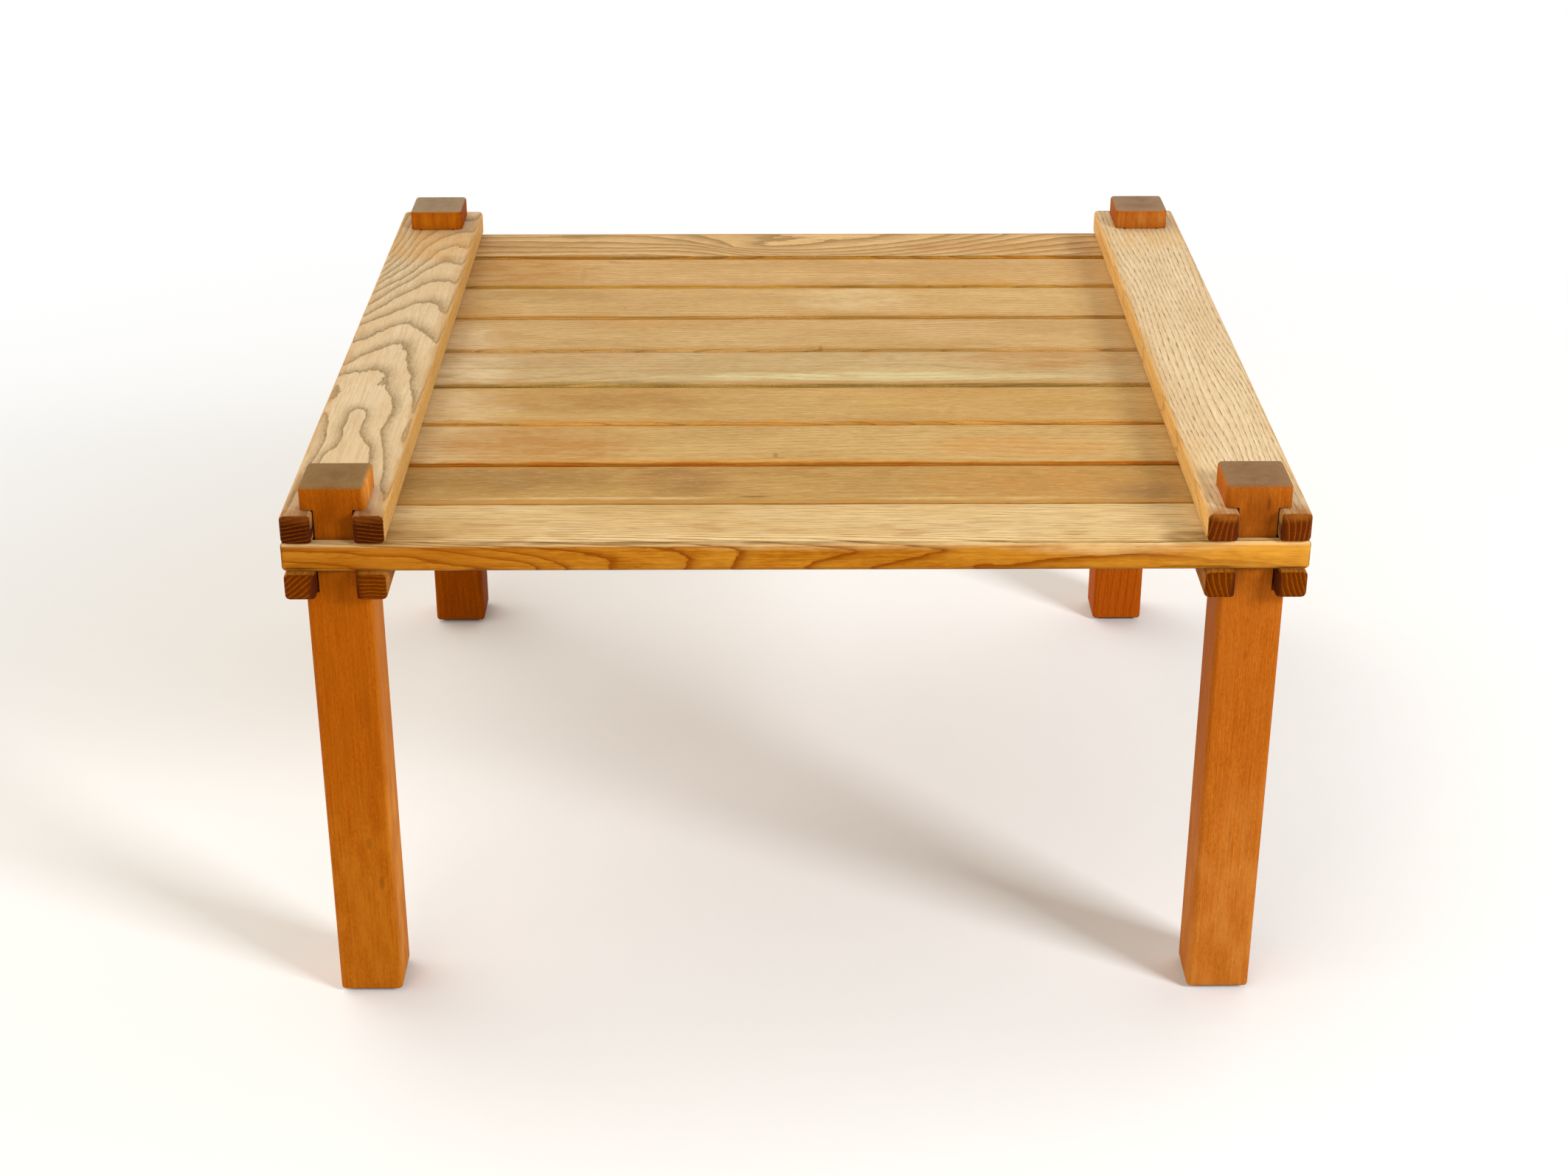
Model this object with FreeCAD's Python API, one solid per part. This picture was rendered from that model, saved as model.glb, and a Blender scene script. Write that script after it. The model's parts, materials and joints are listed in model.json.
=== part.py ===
import FreeCAD, Part
import os

# Low slatted coffee table in solid ash, plugged together without visible fixings.
# X runs left to right, Y front to back and Z up, from the floor under the middle of the table.
# All sizes are in millimetres.

# Planks of the top, which run left to right; the first two and the last are cut narrower
top_length = 800.0
middle_plank_count = 6
plank_width = 88.0
front_plank_width = 76.0
second_plank_width = 80.0
rear_plank_width = 80.0
plank_gap = 1.1
plank_thickness = 24.0
plank_edge_radius = 2.5
plank_end_bevel = 1.8

# Upper boards, which lie front to back over the plank ends
board_width = 81.0
board_thickness = 24.0
board_edge_radius = 3.0
board_end_bevel = 2.0
board_side_inset = 1.0
board_overhang = 2.0

# Lower rails, which carry the planks
rail_width = 80.0
rail_thickness = 22.0
rail_edge_radius = 3.0
rail_end_bevel = 2.0
rail_overhang = 6.0

# Rims of the slots that make the ends of boards and rails into forks
slot_bevel = 1.2

# Legs: a square shaft, a neck between two side notches, and a head as wide as the shaft
leg_width = 52.0
leg_setback = 10.0
leg_edge_radius = 4.0
neck_width = 31.0
shoulder_height = 377.0
head_height = 19.0
head_top_bevel = 1.5
head_under_bevel = 1.2
foot_bevel = 1.2

# Foot pads
pad_inset = 6.0
pad_corner_radius = 5.0
pad_thickness = 3.0

# Loose tenons, which are glued upright in the rails and key the middle planks
tenon_width = 30.0
tenon_thickness = 8.0
tenon_seat_depth = 12.0
tenon_reach = 12.0

# Clearances
slot_clearance = 0.7
seat_clearance = 0.3
mortise_clearance = 0.5
tenon_glue_gap = 0.05
tenon_clearance = 0.2
tenon_end_clearance = 1.0

# How far a cut runs past the face it opens in, and how near two places count as one
overrun = 5.0
nearness = 0.01

# Places worked out from the sizes
plank_widths = [front_plank_width, second_plank_width]
plank_widths += [plank_width] * middle_plank_count
plank_widths += [rear_plank_width]
top_depth = sum(plank_widths) + plank_gap * (len(plank_widths) - 1)
side_centre = top_length / 2 - board_side_inset - board_width / 2
leg_outer_face = top_depth / 2 - leg_setback
leg_inner_face = leg_outer_face - leg_width
leg_centre = (leg_outer_face + leg_inner_face) / 2
plank_underside = shoulder_height + rail_thickness
plank_top = plank_underside + plank_thickness
board_top = plank_top + board_thickness
table_height = board_top + head_height

SIDES = {"left": -1, "right": 1}
ENDS = {"front": -1, "rear": 1}


# A plain block about a centre line, from one height to another
def block(centre_x, centre_y, size_x, size_y, low, high):
    corner = FreeCAD.Vector(centre_x - size_x / 2, centre_y - size_y / 2, low)
    return Part.makeBox(size_x, size_y, high - low, corner)


# Edges with both ends in one plane across an axis, X, Y or Z
def edges_across(shape, axis, place):
    return [e for e in shape.Edges if all(abs(getattr(v, axis) - place) < nearness for v in e.Vertexes)]


# Edges that run the whole length of a shape along an axis
def edges_along(shape, axis):
    whole = getattr(shape.BoundBox, axis + "Length")
    return [e for e in shape.Edges if abs(getattr(e.BoundBox, axis + "Length") - whole) < nearness]


# A sawn board with its long edges rounded and the rims of both ends bevelled
def eased_board(blank, grain, radius, bevel):
    board = blank.makeFillet(radius, edges_along(blank, grain))
    box = board.BoundBox
    for place in (getattr(box, grain + "Min"), getattr(box, grain + "Max")):
        board = board.makeChamfer(bevel, edges_across(board, grain, place))
    return board


# Y of the middle of each plank, from the front to the back
def plank_centres():
    centres = []
    front_edge = -top_depth / 2
    for width in plank_widths:
        centres.append(front_edge + width / 2)
        front_edge += width + plank_gap
    return centres


# The rims of one slot: the edges of its two side walls, but not its closed end
def slot_rims(shape, centre_x, end, slot_width, closed_end):
    rims = []
    for wall in (centre_x - slot_width / 2, centre_x + slot_width / 2):
        for edge in edges_across(shape, "X", wall):
            if end * edge.BoundBox.Center.y > closed_end + nearness:
                rims.append(edge)
    return rims


# A board with an open slot in each end, which makes the end a fork round a leg's neck
def forked_board(centre_x, width, length, low, high, radius, bevel):
    board = eased_board(block(centre_x, 0, width, length, low, high), "Y", radius, bevel)
    slot_width = neck_width + 2 * slot_clearance
    closed_end = leg_inner_face - seat_clearance
    slot_length = length / 2 - closed_end + overrun
    for end in ENDS.values():
        slot_middle = end * (closed_end + slot_length / 2)
        slot = block(centre_x, slot_middle, slot_width, slot_length, low - overrun, high + overrun)
        board = board.cut(slot)
    for end in ENDS.values():
        rims = slot_rims(board, centre_x, end, slot_width, closed_end)
        board = board.makeChamfer(slot_bevel, rims)
    return board


# A loose tenon or its mortise, upright across the joint of rail and plank
def tenon_block(side, centre_y, clearance, low, high):
    centre_x = side * side_centre
    thickness = tenon_thickness + 2 * clearance
    width = tenon_width + 2 * clearance
    return block(centre_x, centre_y, thickness, width, low, high)


# A lower rail, with mortises in its upper face that the tenons are glued in
def lower_rail(side):
    length = top_depth + 2 * rail_overhang
    low = shoulder_height
    high = plank_underside
    rail = forked_board(side * side_centre, rail_width, length, low, high, rail_edge_radius, rail_end_bevel)
    for centre_y in plank_centres()[1:-1]:
        floor = high - tenon_seat_depth
        rail = rail.cut(tenon_block(side, centre_y, tenon_glue_gap, floor, high + overrun))
    return rail


# An upper board, which the necks and heads of its two legs hold down on the planks
def upper_board(side):
    length = top_depth + 2 * board_overhang
    low = plank_top
    high = board_top
    return forked_board(side * side_centre, board_width, length, low, high, board_edge_radius, board_end_bevel)


# A plank of the top with nothing cut in it yet
def plank_blank(centre_y, width):
    blank = block(0, centre_y, top_length, width, plank_underside, plank_top)
    return eased_board(blank, "X", plank_edge_radius, plank_end_bevel)


# A middle plank, with a blind mortise for a tenon under each end
def middle_plank(centre_y, width):
    plank = plank_blank(centre_y, width)
    for side in SIDES.values():
        low = plank_underside - overrun
        high = plank_underside + tenon_reach + tenon_end_clearance
        plank = plank.cut(tenon_block(side, centre_y, tenon_clearance, low, high))
    return plank


# An end plank, with a mortise near each end that a leg's head goes up through
def end_plank(centre_y, width, end):
    plank = plank_blank(centre_y, width)
    mortise = leg_width + 2 * mortise_clearance
    for side in SIDES.values():
        low = plank_underside - overrun
        high = plank_top + overrun
        plank = plank.cut(block(side * side_centre, end * leg_centre, mortise, mortise, low, high))
    return plank


# A leg: the notches leave a neck, whose front and back are flush with shaft and head
def leg(side, end):
    centre_x = side * side_centre
    centre_y = end * leg_centre
    post = block(centre_x, centre_y, leg_width, leg_width, pad_thickness, table_height)
    post = post.makeFillet(leg_edge_radius, edges_along(post, "Z"))
    post = post.makeChamfer(head_top_bevel, edges_across(post, "Z", table_height))
    post = post.makeChamfer(foot_bevel, edges_across(post, "Z", pad_thickness))
    for cheek in SIDES.values():
        notch_middle = centre_x + cheek * (neck_width / 2 + leg_width / 2)
        notch = block(notch_middle, centre_y, leg_width, leg_width + overrun, shoulder_height, board_top)
        post = post.cut(notch)
    rims = edges_across(post, "Z", board_top)
    outer = [e for e in rims if abs(e.BoundBox.Center.x - centre_x) > neck_width / 2 + nearness]
    return post.makeChamfer(head_under_bevel, outer)


# A thin pad under a leg
def foot_pad(side, end):
    width = leg_width - 2 * pad_inset
    pad = block(side * side_centre, end * leg_centre, width, width, 0, pad_thickness)
    return pad.makeFillet(pad_corner_radius, edges_along(pad, "Z"))


# The tenons of one side, one to each middle plank
def tenons(side):
    low = plank_underside - tenon_seat_depth
    high = plank_underside + tenon_reach
    return Part.makeCompound([tenon_block(side, y, 0, low, high) for y in plank_centres()[1:-1]])


# Every piece of the table under its name
def pieces():
    made = {}
    planks = list(zip(plank_centres(), plank_widths))
    made["front_plank"] = end_plank(*planks[0], ENDS["front"])
    made["rear_plank"] = end_plank(*planks[-1], ENDS["rear"])
    for index, (centre_y, width) in enumerate(planks[1:-1], start=2):
        made["plank_%d" % index] = middle_plank(centre_y, width)
    for side_name, side in SIDES.items():
        made["lower_rail_" + side_name] = lower_rail(side)
        made["upper_board_" + side_name] = upper_board(side)
        made["tenons_" + side_name] = tenons(side)
        for end_name, end in ENDS.items():
            made["leg_%s_%s" % (end_name, side_name)] = leg(side, end)
            made["foot_pad_%s_%s" % (end_name, side_name)] = foot_pad(side, end)
    return made


os.makedirs("parts", exist_ok=True)
for name, shape in pieces().items():
    shape.exportStep(os.path.join("parts", name + ".step"))
    print(name, shape.isValid(), len(shape.Solids), round(shape.Volume))
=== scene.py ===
import json
import math
from functools import partial

import bmesh
import bpy
import numpy as np
from bpy.props import FloatProperty, FloatVectorProperty, PointerProperty
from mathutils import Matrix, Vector


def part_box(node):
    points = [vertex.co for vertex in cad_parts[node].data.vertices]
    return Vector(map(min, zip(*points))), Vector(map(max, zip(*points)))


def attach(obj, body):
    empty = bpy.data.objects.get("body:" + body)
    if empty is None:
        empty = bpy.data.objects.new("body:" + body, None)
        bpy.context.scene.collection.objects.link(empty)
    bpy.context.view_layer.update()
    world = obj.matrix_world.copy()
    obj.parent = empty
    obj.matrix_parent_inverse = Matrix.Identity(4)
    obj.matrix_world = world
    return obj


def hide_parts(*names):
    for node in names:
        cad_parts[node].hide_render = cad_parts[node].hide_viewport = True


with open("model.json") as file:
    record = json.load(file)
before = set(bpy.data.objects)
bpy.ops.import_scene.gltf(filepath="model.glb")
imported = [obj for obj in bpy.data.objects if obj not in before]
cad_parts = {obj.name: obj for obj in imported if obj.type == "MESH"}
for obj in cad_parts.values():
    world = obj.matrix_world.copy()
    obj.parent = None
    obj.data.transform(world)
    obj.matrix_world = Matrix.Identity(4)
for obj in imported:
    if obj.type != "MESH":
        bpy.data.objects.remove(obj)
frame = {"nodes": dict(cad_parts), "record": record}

bl_info = {
    "name": "Slatted table with forked joints",
    "version": (1, 0, 0),
    "blender": (4, 5, 0),
    "location": "View3D > Sidebar > Slatted table",
    "description": "Dresses the packed table: ash planks, forked boards, notched legs, felt pads and a studio",
    "category": "Add Mesh",
}

MM = 0.001
AXES = {"X": 0, "Y": 1, "Z": 2}
SIDES = {"left": -1, "right": 1}
ENDS = {"front": -1, "rear": 1}
PLANKS = ("front_plank", "plank_2", "plank_3", "plank_4", "plank_5", "plank_6", "plank_7", "plank_8", "rear_plank")
BODY_OF = {node: body for body, nodes in frame["record"]["behaviour"]["bodies"].items() for node in nodes}


def from_hex(code):
    """An sRGB hex colour as linear red, green and blue."""
    shares = [int(code[i : i + 2], 16) / 255 for i in (0, 2, 4)]
    return tuple(s / 12.92 if s <= 0.04045 else ((s + 0.055) / 1.055) ** 2.4 for s in shares)


# The setting that says what a node works out, for the kinds that can work out more than one thing
HOW = {"Math": "operation", "VectorMath": "operation", "MapRange": "interpolation_type", "Mix": "data_type"}


def add_node(tree, kind, *values, out="", stops=(), named=None, **settings):
    """Adds a node of any kind and gives its output: the first live one, or the one that out names.

    The values fill its live sockets in order, after what HOW asks for: numbers, hex colours or outputs to link.
    Sockets can also be filled by name, and stops are the places and greys of a ramp.
    """
    node = tree.nodes.new("ShaderNode" + kind)
    values = list(values)
    if kind in HOW:
        setattr(node, HOW[kind], values.pop(0))
    for name, value in settings.items():
        setattr(node, name, value)
    filled = list(zip([socket for socket in node.inputs if socket.enabled], values))
    filled += [(node.inputs[name], value) for name, value in (named or {}).items()]
    for socket, value in filled:
        if isinstance(value, bpy.types.NodeSocket):
            tree.links.new(value, socket)
        else:
            socket.default_value = (*from_hex(value), 1.0) if isinstance(value, str) else value
    if stops:
        elements = node.color_ramp.elements
        while len(elements) < len(stops):
            elements.new(1.0)
        for element, (place, grey) in zip(elements, stops):
            element.position = place
            element.color = (grey, grey, grey, 1.0)
    return node.outputs[out] if out else next((socket for socket in node.outputs if socket.enabled), None)


def new_material(name):
    """An empty material, and the function that adds a node to it."""
    material = bpy.data.materials.new(name)
    material.use_nodes = True
    material.node_tree.nodes.clear()
    return material, partial(add_node, material.node_tree)


# ---------------------------------------------------------------- sawn pieces

# Edges that turn by more than this are outer edges, which get eased; and faces that meet flatter are shaded as one
EASED_TURN = 0.5
SMOOTH_TURN = math.radians(50)
# Lengths of the slow and quick waves of wear, and how much longer they are along the grain
SLOW_WAVE = 60 * MM
QUICK_WAVE = 18 * MM
WAVE_STRETCH = 3.0
# How near two places count as one, and how much of an axis an edge has that runs along it
NEAR = MM / 10
ALONG = 0.9
# How far a normal leans, as 1 minus its cosine, in the middle of a rounded edge
HALF_ROUND = 0.29


def cuts(low, high, step, margin, between=()):
    """Places to cut a length: both ends, a margin in from each, the given ones, and steps in between."""
    fixed = sorted({low, high, low + margin, high - margin, *between})
    places = [fixed[0]]
    for a, b in zip(fixed, fixed[1:]):
        count = max(1, round((b - a) / step))
        places += [a + (b - a) * k / count for k in range(1, count + 1)]
    return places


def sawn_mesh(cuts_a, cuts_b, levels, drawn, is_empty):
    """The closed mesh of the cells between two sets of cuts, drawn out along an axis through the given levels."""
    bm = bmesh.new()
    made = {}

    def corner(i, j, k):
        if (i, j, k) not in made:
            a, b, c = cuts_a[i], cuts_b[j], levels[k]
            made[i, j, k] = bm.verts.new((a, b, c) if drawn == "Z" else (a, c, b))
        return made[i, j, k]

    def solid(i, j):
        if not (0 <= i < len(cuts_a) - 1 and 0 <= j < len(cuts_b) - 1):
            return False
        return not is_empty((cuts_a[i] + cuts_a[i + 1]) / 2, (cuts_b[j] + cuts_b[j + 1]) / 2)

    last = len(levels) - 1
    for i in range(len(cuts_a) - 1):
        for j in range(len(cuts_b) - 1):
            if not solid(i, j):
                continue
            ring = [(i, j), (i + 1, j), (i + 1, j + 1), (i, j + 1)]
            for k in (0, last):
                bm.faces.new([corner(*p, k) for p in ring])
            beside = ((i, j - 1), (i + 1, j), (i, j + 1), (i - 1, j))
            for neighbour, p, q in zip(beside, ring, ring[1:] + ring[:1]):
                if not solid(*neighbour):
                    for k in range(last):
                        bm.faces.new([corner(*p, k), corner(*q, k), corner(*q, k + 1), corner(*p, k + 1)])
    bmesh.ops.recalc_face_normals(bm, faces=bm.faces)
    return bm


def ease_edges(bm, name, radius_of, segments):
    """Rounds each outer edge to the radius that radius_of gives for its middle and direction."""
    weights = bm.edges.layers.float.new("bevel_weight_edge")
    radii = {}
    for edge in bm.edges:
        if len(edge.link_faces) == 2 and edge.calc_face_angle_signed() > EASED_TURN:
            start, end = (v.co for v in edge.verts)
            radii[edge] = radius_of((start + end) / 2, (end - start).normalized())
    widest = max(radii.values())
    for edge, radius in radii.items():
        edge[weights] = radius / widest
    mesh = bpy.data.meshes.new(name)
    bm.to_mesh(mesh)
    bm.free()
    piece = bpy.data.objects.new(name, mesh)
    bpy.context.scene.collection.objects.link(piece)
    bevel = piece.modifiers.new("Eased edges", "BEVEL")
    bevel.limit_method = "WEIGHT"
    bevel.width = widest
    bevel.segments = segments
    bevel.use_clamp_overlap = False
    bevel.miter_outer = "MITER_ARC"
    eased = bpy.data.meshes.new_from_object(piece.evaluated_get(bpy.context.evaluated_depsgraph_get()))
    piece.modifiers.clear()
    piece.data = eased
    bpy.data.meshes.remove(mesh)
    eased.name = name
    return piece


def waves(points, seed, count, length, stretch):
    """A smooth seeded wander from -1 to 1 at each point: sines of random directions, longer along the grain."""
    draw = np.random.default_rng(seed)
    total = np.zeros(len(points))
    for _ in range(count):
        direction = draw.normal(size=3)
        direction /= np.linalg.norm(direction)
        turns = direction / (length * np.array(stretch)) * draw.uniform(0.7, 1.4)
        total += np.sin(points @ turns * 2 * math.pi + draw.uniform(0, 2 * math.pi))
    return total / math.sqrt(count) / 1.5


def read_points(mesh, what):
    """The place or normal of each point of a mesh, as rows."""
    rows = np.empty(len(mesh.vertices) * 3)
    mesh.vertices.foreach_get(what, rows)
    return rows.reshape(-1, 3)


def wear(piece, seed, grain, depth, edge_depth, cup=0.0):
    """Takes a little off the faces and more off the edges, in slow waves, and hollows the top face by cup."""
    mesh = piece.data
    places, normals = read_points(mesh, "co"), read_points(mesh, "normal")
    stretch = [WAVE_STRETCH if axis == grain else 1.0 for axis in AXES]
    on_edge = np.clip((1 - np.abs(normals).max(axis=1)) / HALF_ROUND, 0, 1)
    slow = 0.5 + 0.5 * np.clip(waves(places, seed, 7, SLOW_WAVE, stretch), -1, 1)
    quick = 0.5 + 0.5 * np.clip(waves(places, seed + 1, 9, QUICK_WAVE, stretch), -1, 1)
    taken = depth * slow + edge_depth * on_edge * (0.4 * slow + 0.6 * quick)
    places -= normals * taken[:, None]
    if cup:
        across = AXES["Y" if grain == "X" else "X"]
        low, high = places[:, across].min(), places[:, across].max()
        share = (places[:, across] - low) / (high - low) * 2 - 1
        bowed = 1 - share**2 if cup > 0 else share**2
        top = places[:, 2] > places[:, 2].max() - 3 * MM
        places[top, 2] -= abs(cup) * bowed[top]
    mesh.vertices.foreach_set("co", places.ravel())
    mesh.update()


# In mm: the step that tells how steeply the rings run, and the limits of their width on the surface
SLOPE_STEP = 0.5
WIDEST_RING = 50.0
FINEST_RING = 0.5


def store_figure(piece, grain, figure):
    """Stores at each point: rings counted from the pith, mm of surface to a ring, and mm from the nearest rim."""
    mesh = piece.data
    places, normals = read_points(mesh, "co") / MM, read_points(mesh, "normal")
    counts = figure(places)
    slopes = np.column_stack([figure(places + step) - counts for step in np.eye(3) * SLOPE_STEP]) / SLOPE_STEP
    along_skin = slopes - normals * (slopes * normals).sum(axis=1)[:, None]
    spread = 1 / np.clip(np.linalg.norm(along_skin, axis=1), 1 / WIDEST_RING, 1 / FINEST_RING)
    low, high = places.min(axis=0), places.max(axis=0)
    inward = np.minimum(places - low, high - places)
    axis = AXES[grain]
    # Old oil reaches twice as far in from an end as from a side
    rim = np.minimum(inward[:, 1 - axis] if axis < 2 else inward[:, 0], inward[:, axis] * 0.5)
    for name, values in (("rings", counts), ("spread", spread), ("rim", rim)):
        stored = mesh.attributes.new(name, "FLOAT", "POINT")
        stored.data.foreach_set("value", values.astype(np.float32))


def finish_piece(piece, node, material):
    """Smooth shading with flat faces kept flat, the material, the node's body, and the CAD node hidden."""
    piece.data.shade_smooth()
    piece.data.set_sharp_from_angle(angle=SMOOTH_TURN)
    flat = piece.modifiers.new("Flat faces stay flat", "WEIGHTED_NORMAL")
    flat.keep_sharp = True
    piece.data.materials.clear()
    piece.data.materials.append(material)
    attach(piece, BODY_OF[node])
    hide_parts(node)


# ---------------------------------------------------------------- figure of the ash


def pith_figure(grain, start, end, ring_width, seed, wander):
    """Rings round a pith that runs straight from start to end, each (across, up) in mm, one per end of the piece."""
    along, across, up = {"X": (0, 1, 2), "Y": (1, 0, 2), "Z": (2, 0, 1)}[grain]

    def figure(points):
        low, high = points[:, along].min(), points[:, along].max()
        share = (points[:, along] - low) / (high - low)
        # The pith sways over about 60 mm, and five times as slowly along the grain
        stretch = [5.0 if i == along else 1.0 for i in range(3)]
        sway = waves(points, seed, 6, 55.0, stretch) * wander
        lift = waves(points, seed + 1, 6, 70.0, stretch) * wander
        side = points[:, across] - (start[0] + (end[0] - start[0]) * share) + sway
        rise = points[:, up] - (start[1] + (end[1] - start[1]) * share) + lift
        return np.hypot(side, rise) / ring_width

    return figure


# Where growth rings meet the top of the left board: mm from its front end and from its outer edge, point after point,
# one row a ring, from the tongue at the front to the straight grain at the back.
TONGUE_RINGS = (
    (20, 20, 70, 17, 108, 16, 125, 17, 142, 25, 165, 26, 200, 25, 222, 28, 222, 34, 212, 38, 188, 38, 162, 41,
     150, 46, 140, 52, 110, 55, 60, 57, 20, 60),
    (60, 8, 95, 9, 125, 12, 150, 13, 180, 11, 205, 8, 222, 3, 246, 4, 260, 9, 275, 8, 284, 2, 300, 3, 309, 12,
     313, 25, 311, 38, 302, 42, 289, 40, 275, 45, 258, 52, 240, 57, 200, 58, 160, 58, 140, 62, 120, 65, 95, 68,
     60, 70),
    (323, 3, 336, 9, 350, 15, 360, 23, 370, 30, 378, 38, 382, 48, 374, 50, 358, 53, 338, 57, 318, 61, 300, 65,
     280, 66, 260, 71, 240, 75, 200, 77, 172, 74, 150, 77),
    (380, 3, 390, 10, 400, 17, 412, 23, 420, 31, 430, 38, 436, 45, 426, 52, 418, 60, 408, 65, 398, 71, 382, 76,
     360, 80),
    (430, 3, 440, 10, 450, 18, 462, 27, 475, 37, 486, 45, 492, 55, 491, 63, 480, 69, 466, 73, 455, 79),
    (455, 4, 475, 14, 495, 22, 515, 31, 530, 42, 545, 50, 552, 59, 553, 69, 548, 79),
    (487, 4, 505, 12, 530, 21, 547, 30, 567, 38, 585, 45, 600, 53, 612, 61, 606, 68, 600, 78),
    (520, 5, 540, 15, 560, 25, 580, 33, 602, 40, 622, 46, 642, 51, 654, 59, 660, 68, 650, 79),
    (543, 3, 560, 10, 580, 19, 600, 26, 622, 31, 645, 35, 665, 41, 685, 50, 700, 62, 705, 78),
    (558, 3, 585, 12, 610, 20, 640, 25, 665, 28, 690, 35, 715, 45, 735, 60, 745, 78),
    (578, 3, 600, 9, 630, 16, 660, 21, 705, 25, 740, 34, 765, 50),
    (604, 3, 630, 9, 660, 14, 705, 18, 750, 22),
    (636, 4, 665, 8, 705, 11, 750, 13),
    (672, 3, 705, 5, 750, 6),
)
TONGUE_HEART = ((60, 36), (110, 36), (150, 34), (190, 32), (210, 32))

# Where rings meet the front of the front plank: mm from its left end, and mm down from its top edge (minus) or back
# from it over the top (plus). The last two rows are one ring that the heart parts into an upper and a lower line.
FRONT_EDGE_RINGS = (
    (-6, -14, 4, -15, 20, -16, 34, -17, 48, -19, 59, -21, 68, -23),
    (-6, -6, 13, -7, 35, -7, 52, -8, 66, -9.6, 80, -10.5, 97, -11, 106, -13, 120, -16, 134, -18.5, 148, -21,
     156, -23),
    (-6, 3, 40, 1.5, 85, -2, 101, -3, 113, -4, 120, -5.5, 135, -8, 146, -9.6, 160, -11.7, 176, -14, 191, -16,
     197, -19, 199, -23),
    (-6, 6, 70, 3, 119, -1, 135, -1.4, 149, -2.8, 163, -5, 177, -7, 192, -9.7, 203, -13, 211, -15.6, 217, -18,
     220, -23),
    (-6, 9, 90, 5, 140, 0, 171, -2.3, 185, -3.4, 195, -4, 209, -5, 220, -6, 230, -7.7, 242, -11, 251, -14, 255, -17,
     256, -23),
    (-6, 12, 120, 8, 190, 4, 229, 0.5, 252, -0.4, 266, -1.3, 280, -2.6, 295, -4.5, 303, -6, 310, -9, 314, -12,
     316, -15, 315, -19, 314, -23),
    (-6, 15, 150, 11, 250, 6, 295, 2, 316, 0.5, 330, -1.5, 342, -3, 350, -4.5, 355, -7, 356, -11, 354, -14, 351, -18,
     346, -23),
    (-6, 18, 180, 14, 300, 9, 373, 3, 395, 0, 416, -2, 430, -4, 440, -5.3, 446, -7, 436, -9.5, 428, -12, 420, -15,
     412, -18, 404, -23),
    (-6, 21, 220, 17, 350, 11, 452, 1.2, 466, 0, 480, -1.3, 495, -3, 506, -4.4, 516, -6.2, 506, -8.4, 495, -11,
     483, -14, 473, -17, 450, -23),
    (-6, 24, 260, 20, 420, 14, 516, 7, 540, 4, 569, 1.5, 600, 1, 643, 1, 689, 2, 750, 3, 806, 4),
    (534, -22, 549, -19, 565, -17, 581, -15.6, 602, -13, 629, -11, 661, -10, 678, -10, 701, -11.7, 723, -14,
     744, -15.5, 780, -18, 806, -21),
)
FRONT_EDGE_HEART = ((40, -26, 0.3), (540, -8, 9.6), (580, -6, 9.55), (640, -4.5, 9.5), (720, -6, 9.5), (790, -8, 9.5))

# Where rings meet the top of the rear plank: mm from its left end and from its front edge
REAR_TOP_RINGS = (
    (398, 71, 414, 63, 431, 55, 452, 58, 474, 61, 490, 69, 507, 77),
    (295, 80, 308, 70, 321, 62, 330, 54, 336, 46, 344, 34, 365, 29, 400, 26, 450, 32, 500, 45, 540, 60, 565, 76),
    (0, 66, 100, 68, 200, 73, 254, 70, 274, 64, 290, 59, 303, 51, 314, 45, 332, 34, 350, 26, 400, 17, 460, 22,
     520, 38, 570, 58, 600, 76),
    (0, 52, 120, 54, 238, 49, 271, 45, 292, 43, 308, 38, 318, 32, 350, 18, 400, 9, 470, 13, 540, 33, 590, 55,
     627, 80),
    (0, 40, 82, 40, 160, 36, 238, 33, 303, 31, 330, 22, 360, 8, 420, 1, 480, 4, 560, 28, 610, 50, 656, 73, 700, 80),
    (0, 20, 82, 20, 160, 22, 240, 24, 300, 20, 330, 10, 350, 0, 505, 0, 570, 18, 640, 45, 690, 66, 800, 76),
    (0, 5, 100, 6, 200, 10, 290, 6, 310, 0, 545, 0, 640, 30, 718, 52, 800, 60),
)


def thin_plate(known, squeeze, give):
    """The smoothest sheet that passes within give of the known (a, b, height) points; squeeze shortens a."""
    known = np.array(known, float)
    scale = np.array([squeeze, 1.0])
    count = len(known)

    def kernel(spots):
        gap = np.linalg.norm((spots[:, None, :] - known[None, :, :2]) * scale, axis=2)
        return gap * gap * np.log(gap + 1e-6)

    flat = np.column_stack([np.ones(count), known[:, :2]])
    matrix = np.zeros((count + 3, count + 3))
    matrix[:count, :count] = kernel(known[:, :2]) + give * np.eye(count)
    matrix[:count, count:] = flat
    matrix[count:, :count] = flat.T
    weights = np.linalg.solve(matrix, np.append(known[:, 2], np.zeros(3)))

    def height(spots):
        return kernel(spots) @ weights[:count] + np.column_stack([np.ones(len(spots)), spots]) @ weights[count:]

    return height


def numbered(lines):
    """The points of each line with the line's number, from 1."""
    return [(a, b, number) for number, line in enumerate(lines, 1) for a, b in zip(line[::2], line[1::2])]


def tongue_figure(low, high):
    """Rings of the left board: the traced sheet on its top, and one more ring for each 3.3 mm up."""
    known = numbered(TONGUE_RINGS) + [(a, b, 0.45) for a, b in TONGUE_HEART]
    sheet = thin_plate(known, 0.45, 4.0)

    def figure(points):
        return sheet(np.column_stack([points[:, 1] - low[1], points[:, 0] - low[0]])) + (points[:, 2] - high[2]) / 3.3

    return figure


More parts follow.
